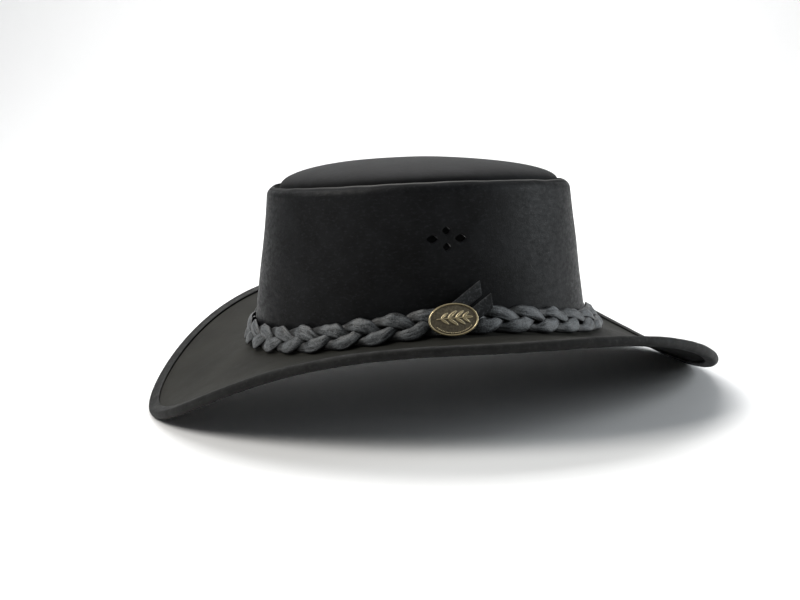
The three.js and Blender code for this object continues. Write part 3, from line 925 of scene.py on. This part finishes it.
def dotHeight(x, y):  # a row of small raised dots along the lower edge
    height = np.zeros_like(x)
    for turn in np.radians(np.arange(dotLook["from"], dotLook["to"], dotLook["step"])):
        dotX = dotLook["ring"] * badgeLook["long"] / 2 * math.cos(turn)
        dotY = dotLook["ring"] * badgeLook["tall"] / 2 * math.sin(turn)
        near = np.hypot(x - dotX, y - dotY) / dotLook["size"]
        height = np.maximum(height, np.clip(dotLook["steep"] * (1 - near * near), 0, 1))
    return height


def sprigHeight(x, y):  # a stem with pairs of leaves, whose places are shares of the badge's length
    look = sprigLook
    y = y - look["up"]
    onStem = (x > look["stemFrom"]) & (x < look["stemTo"])
    height = look["stemHigh"] * np.clip(look["stemSteep"] - np.abs(y) / look["stemWide"], 0, 1) * onStem
    tilt = math.radians(leafLook["angle"])
    leaves = [(*pair, sign * tilt) for pair in look["pairs"] for sign in (1, -1)]
    for share, size, turn in (*leaves, (*look["tip"], 0)):
        height = np.maximum(height, leafHeight(x, y, share * badgeLook["long"], size, turn))
    return height


def buildBadge():
    look = badgeLook
    long, tall = look["long"] / 2, look["tall"] / 2
    turn = np.linspace(0, 2 * math.pi, look["columns"], endpoint=False)
    rim = look["rimWidth"] * np.hypot(tall * np.cos(turn), long * np.sin(turn)) / (long * tall)
    field = np.linspace(look["fieldFrom"], 1, look["fieldRows"])[:, None] * (1 - rim * look["fieldEdge"])
    rimShares = np.linspace(look["rimFrom"], look["rimTo"], look["rimRows"])[:, None]
    r = np.concatenate([field, 1 - rim * rimShares])
    x, y = r * long * np.cos(turn), r * tall * np.sin(turn)
    onRim = np.clip((r - (1 - rim)) / rim, 0, 1)
    stretch, shift = look["rimFit"]
    swell = np.sin(math.pi * np.clip(onRim * stretch + shift, 0, 1)) ** look["rimPower"] * (onRim > 0)
    grain = look["grain"] * np.sin(x * look["grainTurns"]) * np.sin(y * look["grainTurns"]) * (r < 1 - rim)
    design = np.maximum(sprigHeight(x, y), look["dotShare"] * dotHeight(x, y))
    relief = look["relief"] * design + look["rimHeight"] * swell
    z = look["base"] + look["dome"] * (1 - r * r) + relief + grain
    rows = [onBadge(x[i], y[i], z[i]) for i in range(len(r))]
    for share, height in look["under"]:
        rows.append(onBadge(share * long * np.cos(turn), share * tall * np.sin(turn), height + 0 * turn))
    rows = np.array(rows)
    count = len(turn)
    middles = [onBadge(0, 0, height) for height in (z[0].mean(), look["backHeight"])]
    points = np.vstack([rows.reshape(-1, 3), *middles])
    top, bottom, last = len(points) - 2, len(points) - 1, (len(rows) - 1) * count
    faces = gridFaces(len(rows), count)
    faces += [[(c + 1) % count, c, top] for c in range(count)]
    faces += [[last + c, last + (c + 1) % count, bottom] for c in range(count)]
    badge = meshFrom("ovalBadge", points, faces)
    worn = np.zeros(len(points))
    worn[: relief.size] = np.clip(relief / look["relief"], 0, 1).ravel()
    storeValues(badge, "worn", worn)
    facesOutward(badge)
    return badge


brassLook = {
    "stops": ((0.25, (0.13, 0.11, 0.076)), (0.65, (0.3, 0.255, 0.17)), (1.0, (0.66, 0.55, 0.33))),
    "grimeScale": 900, "grimeDetail": 6, "grimeShare": 0.7, "metallic": 0.6, "roughness": (0.55, 0.3),
}


def brass():  # polished where the relief is high, grimy in the hollows
    paint = Paint("agedBrass")
    worn = paint.attribute("worn")
    grime = paint.noise(brassLook["grimeScale"], brassLook["grimeDetail"])
    tone = paint.math("MULTIPLY_ADD", grime, brassLook["grimeShare"], worn)
    paint.give("Base Color", paint.ramp(tone, brassLook["stops"]))
    paint.give("Metallic", brassLook["metallic"])
    paint.give("Roughness", paint.remap(worn, (0, 1), brassLook["roughness"]))
    return paint.material


agedBrass = brass()
badge = buildBadge()
badge.data.materials.append(agedBrass)
print("badge", len(badge.data.polygons), "faces")

strapLook = {  # "under" and "upper": half widths across, and millimetres above the strap's foot and top
    "width": 7.2, "thickness": 1.6, "angle": 33, "apart": 9.2, "lift": -0.7,
    "columns": 40, "leanFrom": 6, "waver": 0.18, "waverGrain": 6,
    "bevel": 0.15, "bevelAngle": 50, "bevelSegments": 2,
    "under": ((-1, 0.35), (-0.97, 0.12), (-0.9, 0), (0, 0.04), (0.9, 0), (0.97, 0.12), (1, 0.35)),
    "upper": ((1, -0.35), (0.96, -0.1), (0.86, 0), (0.4, 0.12), (0, 0.15),
              (-0.4, 0.1), (-0.86, 0), (-0.96, -0.1), (-1, -0.35)),
}


def buildStrap(name, start, reach, side, lean):
    look = strapLook
    turned = math.radians(look["angle"])
    half = look["width"] / 2 / math.cos(turned)
    lift = look["lift"] + side * look["apart"] / math.cos(turned) / 2
    x = start + (reach - start) * np.linspace(0, 1, look["columns"])
    middle = lift + math.tan(turned) * x
    rise = lean * np.clip((x - look["leanFrom"]) / (reach - look["leanFrom"]), 0, 1) ** 2
    section = [*look["under"], *((w, look["thickness"] + z) for w, z in look["upper"])]
    rows = np.array([onBadge(x, middle + w * half, z + rise) for w, z in section])
    for p in rows.reshape(-1, 3):
        p += look["waver"] * noise.noise(Vector(p) / look["waverGrain"])
    count = len(section)
    points = rows.transpose(1, 0, 2).reshape(-1, 3)
    faces = gridFaces(look["columns"], count)
    faces += [list(range(count)), list(range(len(points) - count, len(points)))]
    strap = meshFrom(name, points, faces)
    facesOutward(strap)
    bevel = strap.modifiers.new("softEdge", "BEVEL")
    bevel.width = look["bevel"] / 1000
    bevel.segments = look["bevelSegments"]
    bevel.limit_method = "ANGLE"
    bevel.angle_limit = math.radians(look["bevelAngle"])
    finishModifiers(strap)
    strap.data.materials.append(strapLeather)
    return strap


upperStrap = buildStrap("strapUpper", start=-3.4, reach=17.9, side=1, lean=0.0)
lowerStrap = buildStrap("strapLower", start=4.3, reach=23.3, side=-1, lean=0.4)
print("straps ready")

# Each piece stands for its CAD node and rides on the hat

dressed = [
    (crown, "crown_leather", ["crown"]),
    (brim, "brim_leather", ["brim"]),
    (binding, "binding_leather", ["brim_binding"]),
    (thongs[0], "plait_leather", ["plait_strand_a"]),
    (thongs[1], "plait_leather", ["plait_strand_b"]),
    (thongs[2], "plait_leather", ["plait_strand_c"]),
    (badge, "badge_brass", ["badge"]),
    (upperStrap, "plait_leather", ["strap_end_upper"]),
    (lowerStrap, "plait_leather", ["strap_end_lower"]),
]
for piece, slotName, nodeNames in dressed:
    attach(piece, "root")
    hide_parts(*nodeNames)

# Studio

studioLook = {  # metres; the sweep is turned square to the camera
    "floor": (0.95, 0.95, 0.95), "roughness": 0.9, "specular": 0.1,
    "halfWidth": 4.0, "front": -4.0, "bend": 1.6, "radius": 0.9, "bendSteps": 25, "height": 2.6,
    "worldColour": (0.9, 0.95, 1), "worldStrength": 0.12, "yaw": 15.8,
}


def buildSweep():
    bend, radius, width = studioLook["bend"], studioLook["radius"], studioLook["halfWidth"]
    profile = [(studioLook["front"], 0.0), (bend, 0.0)]
    for t in np.linspace(0, math.pi / 2, studioLook["bendSteps"])[1:]:
        profile.append((bend + radius * math.sin(t), radius * (1 - math.cos(t))))
    profile.append((bend + radius, studioLook["height"]))
    yaw = math.radians(studioLook["yaw"])
    view = Vector((math.sin(yaw), math.cos(yaw), 0))
    side = Vector((view.y, -view.x, 0))
    vertices = [view * y + side * x + Vector((0, 0, z)) for y, z in profile for x in (-width, width)]
    faces = [(2 * i, 2 * i + 1, 2 * i + 3, 2 * i + 2) for i in range(len(profile) - 1)]
    mesh = bpy.data.meshes.new("studioSweep")
    mesh.from_pydata(vertices, [], faces)
    mesh.polygons.foreach_set("use_smooth", [True] * len(faces))
    sweep = addObject("studioSweep", mesh)
    paint = Paint("paleFloor")
    paint.give("Base Color", studioLook["floor"])
    paint.give("Roughness", studioLook["roughness"])
    paint.give("Specular IOR Level", studioLook["specular"])
    mesh.materials.append(paint.material)


def softLight(name, place, target, size, power, colour):
    light = bpy.data.lights.new(name, "AREA")
    light.shape = "RECTANGLE"
    light.size, light.size_y = size
    light.energy = power
    light.color = colour
    lamp = addObject(name, light)
    toward = Vector(target) - Vector(place)
    lamp.matrix_world = Matrix.Translation(place) @ toward.to_track_quat("-Z", "Y").to_matrix().to_4x4()


lights = (  # metres and watts
    {"name": "backLight", "place": (0.1, 1.5, 1.0), "target": (0, 0, 0.08),
     "size": (2.4, 0.6), "power": 1.7, "colour": (1, 1, 0.97)},
    {"name": "topLight", "place": (0.0, 1.1, 1.75), "target": (0, 0, 0),
     "size": (1.8, 1.0), "power": 34, "colour": (1, 1, 1)},
    {"name": "backSideLight", "place": (1.3, -0.4, 0.5), "target": (0, 0, 0.08),
     "size": (0.7, 0.9), "power": 11.5, "colour": (0.92, 0.97, 1)},
    {"name": "frontSideLight", "place": (-1.1, -0.2, 1.3), "target": (0, 0, 0.05),
     "size": (0.8, 0.9), "power": 20, "colour": (1, 0.98, 0.94)},
    {"name": "backdropLight", "place": (0.5, 1.3, 1.9), "target": (0.6, 2.4, 0.7),
     "size": (2.6, 0.8), "power": 22, "colour": (1, 1, 1)},
)
buildSweep()
for light in lights:
    softLight(**light)

world = bpy.data.worlds.new("studio")
world.use_nodes = True
background = world.node_tree.nodes["Background"]
background.inputs["Color"].default_value = (*studioLook["worldColour"], 1)
background.inputs["Strength"].default_value = studioLook["worldStrength"]
bpy.context.scene.world = world
bpy.context.scene.view_settings.view_transform = "Standard"

# Camera at the photograph's angle

cameraLook = {
    "yaw": studioLook["yaw"], "down": 5.8, "roll": 1.0, "distance": 700, "target": (0, 0, 50),
    "focal": 1120, "imageWidth": 800, "offset": (19.5, 67.4), "sensor": 36, "clipStart": 0.01,
}


def buildCamera():
    yaw, down, roll = (math.radians(cameraLook[k]) for k in ("yaw", "down", "roll"))
    look = Vector((math.sin(yaw) * math.cos(down), math.cos(yaw) * math.cos(down), -math.sin(down)))
    right = Vector((math.cos(yaw), -math.sin(yaw), 0))
    up = right.cross(look)
    right, up = right * math.cos(roll) - up * math.sin(roll), right * math.sin(roll) + up * math.cos(roll)
    eye = Vector(cameraLook["target"]) - look * cameraLook["distance"]
    offsetX, offsetY = cameraLook["offset"]
    forward = (look * cameraLook["focal"] - right * offsetX - up * offsetY).normalized()
    right = forward.cross(up).normalized()
    up = right.cross(forward)
    tilt = Matrix.Rotation(math.radians(hat["tiltDegrees"]), 4, "Y")
    eye = Vector(toWorld([list(eye)])[0])
    axes = Matrix((right, up, -forward)).transposed().to_4x4()
    data = bpy.data.cameras.new("photoCamera")
    data.sensor_width = cameraLook["sensor"]
    data.lens = cameraLook["sensor"] * cameraLook["focal"] / cameraLook["imageWidth"]
    data.clip_start = cameraLook["clipStart"]
    camera = addObject("photoCamera", data)
    camera.matrix_world = Matrix.Translation(eye) @ tilt @ axes
    bpy.context.scene.camera = camera


buildCamera()
print("studio and camera ready")
